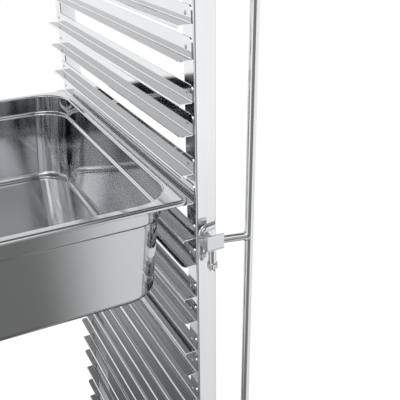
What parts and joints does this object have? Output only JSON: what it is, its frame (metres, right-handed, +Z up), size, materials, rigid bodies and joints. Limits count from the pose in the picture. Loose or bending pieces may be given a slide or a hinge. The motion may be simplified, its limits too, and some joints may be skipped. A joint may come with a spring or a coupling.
{
  "type": "tray trolley",
  "caption": "Tall stainless tray trolley: four square posts with paired folded rails, one deep pan, swing-out safety bars and swivel castors with brakes.",
  "frame": {"origin": "on the floor, under the middle of the frame", "axes": "+Z up, +X to the right of someone who loads trays at the front, front faces -Y"},
  "size_m": [0.469, 0.735, 1.622],
  "materials": {
    "post_steel": "bright ground stainless steel",
    "frame_steel": "ground stainless steel",
    "rail_steel": "polished stainless sheet with a fine lengthwise grain",
    "pan_steel": "bright drawn stainless sheet",
    "bar_steel": "polished stainless round bar",
    "plate_steel": "satin stainless sheet",
    "fixing_steel": "turned stainless fasteners",
    "castor_steel": "pressed stainless sheet",
    "cap_plastic": "grey moulded plastic",
    "washer_plastic": "white nylon",
    "wheel_plastic": "grey moulded polyamide",
    "pedal_plastic": "dark grey moulded plastic",
    "tyre_rubber": "non-marking grey rubber"
  },
  "bodies": {
    "frame": {"post_front_right": "post_steel", "post_front_left": "post_steel", "post_rear_right": "post_steel", "post_rear_left": "post_steel", "base_side_tubes": "frame_steel", "base_cross_tubes": "frame_steel", "top_side_tubes": "frame_steel", "top_cross_tubes": "frame_steel", "post_caps": "cap_plastic", "rail_rivets": "fixing_steel", "castor_plugs": "cap_plastic", "castor_heads": "castor_steel", "castor_kingpins": "fixing_steel", "rails_01": "rail_steel", "rails_02": "rail_steel", "rails_03": "rail_steel", "rails_04": "rail_steel", "rails_05": "rail_steel", "rails_06": "rail_steel", "rails_07": "rail_steel", "rails_08": "rail_steel", "rails_09": "rail_steel", "rails_10": "rail_steel", "rails_11": "rail_steel", "rails_12": "rail_steel", "rails_13": "rail_steel", "rails_14": "rail_steel", "rails_15": "rail_steel", "front_bar_brackets": "plate_steel", "rear_bar_brackets": "plate_steel"},
    "front_bar_pivot": {"front_bar_washers": "washer_plastic"},
    "front_bar": {"front_bar_rod": "bar_steel", "front_bar_arms": "bar_steel", "front_bar_plates": "plate_steel", "front_bar_nuts": "fixing_steel"},
    "rear_bar_pivot": {"rear_bar_washers": "washer_plastic"},
    "rear_bar": {"rear_bar_rod": "bar_steel", "rear_bar_arms": "bar_steel", "rear_bar_plates": "plate_steel", "rear_bar_nuts": "fixing_steel"},
    "pan": {"pan": "pan_steel"},
    "castor_fr": {"castor_fr_fork": "castor_steel", "castor_fr_axle": "fixing_steel"},
    "wheel_fr": {"castor_fr_core": "wheel_plastic", "castor_fr_tyre": "tyre_rubber"},
    "castor_fl": {"castor_fl_fork": "castor_steel", "castor_fl_axle": "fixing_steel"},
    "wheel_fl": {"castor_fl_core": "wheel_plastic", "castor_fl_tyre": "tyre_rubber"},
    "castor_rr": {"castor_rr_fork": "castor_steel", "castor_rr_axle": "fixing_steel"},
    "wheel_rr": {"castor_rr_core": "wheel_plastic", "castor_rr_tyre": "tyre_rubber"},
    "castor_rl": {"castor_rl_fork": "castor_steel", "castor_rl_axle": "fixing_steel"},
    "wheel_rl": {"castor_rl_core": "wheel_plastic", "castor_rl_tyre": "tyre_rubber"},
    "pedal_fr": {"castor_fr_pedal": "pedal_plastic"},
    "pedal_fl": {"castor_fl_pedal": "pedal_plastic"}
  },
  "joints": [
    {"name": "front_bar_swing", "type": "hinge", "parent": "frame", "child": "front_bar_pivot", "pos_m": [0.1825, -0.2962, 0.9], "axis": [0, 0, 1], "range_deg": [-180, 40]},
    {"name": "front_bar_lift", "type": "slide", "parent": "front_bar_pivot", "child": "front_bar", "axis": [0, 0, 1], "range_m": [0, 0.02]},
    {"name": "rear_bar_swing", "type": "hinge", "parent": "frame", "child": "rear_bar_pivot", "pos_m": [-0.1825, 0.2962, 0.9], "axis": [0, 0, 1], "range_deg": [-180, 40]},
    {"name": "rear_bar_lift", "type": "slide", "parent": "rear_bar_pivot", "child": "rear_bar", "axis": [0, 0, 1], "range_m": [0, 0.02]},
    {"name": "pan_slide", "type": "slide", "parent": "frame", "child": "pan", "axis": [0, -1, 0], "range_m": [0, 0.45]},
    {"name": "castor_fr_swivel", "type": "hinge", "parent": "frame", "child": "castor_fr", "pos_m": [0.1825, -0.267, 0.13], "axis": [0, 0, 1], "continuous": true},
    {"name": "wheel_fr_spin", "type": "hinge", "parent": "castor_fr", "child": "wheel_fr", "pos_m": [0.1825, -0.305, 0.0625], "axis": [1, 0, 0], "continuous": true},
    {"name": "castor_fl_swivel", "type": "hinge", "parent": "frame", "child": "castor_fl", "pos_m": [-0.1825, -0.267, 0.13], "axis": [0, 0, 1], "continuous": true},
    {"name": "wheel_fl_spin", "type": "hinge", "parent": "castor_fl", "child": "wheel_fl", "pos_m": [-0.1825, -0.305, 0.0625], "axis": [1, 0, 0], "continuous": true},
    {"name": "castor_rr_swivel", "type": "hinge", "parent": "frame", "child": "castor_rr", "pos_m": [0.1825, 0.267, 0.13], "axis": [0, 0, 1], "continuous": true},
    {"name": "wheel_rr_spin", "type": "hinge", "parent": "castor_rr", "child": "wheel_rr", "pos_m": [0.1825, 0.305, 0.0625], "axis": [1, 0, 0], "continuous": true},
    {"name": "castor_rl_swivel", "type": "hinge", "parent": "frame", "child": "castor_rl", "pos_m": [-0.1825, 0.267, 0.13], "axis": [0, 0, 1], "continuous": true},
    {"name": "wheel_rl_spin", "type": "hinge", "parent": "castor_rl", "child": "wheel_rl", "pos_m": [-0.1825, 0.305, 0.0625], "axis": [1, 0, 0], "continuous": true},
    {"name": "pedal_fr_press", "type": "hinge", "parent": "castor_fr", "child": "pedal_fr", "pos_m": [0.1825, -0.333, 0.125], "axis": [1, 0, 0], "range_deg": [0, 10]},
    {"name": "pedal_fl_press", "type": "hinge", "parent": "castor_fl", "child": "pedal_fl", "pos_m": [-0.1825, -0.333, 0.125], "axis": [1, 0, 0], "range_deg": [0, 10]}
  ]
}
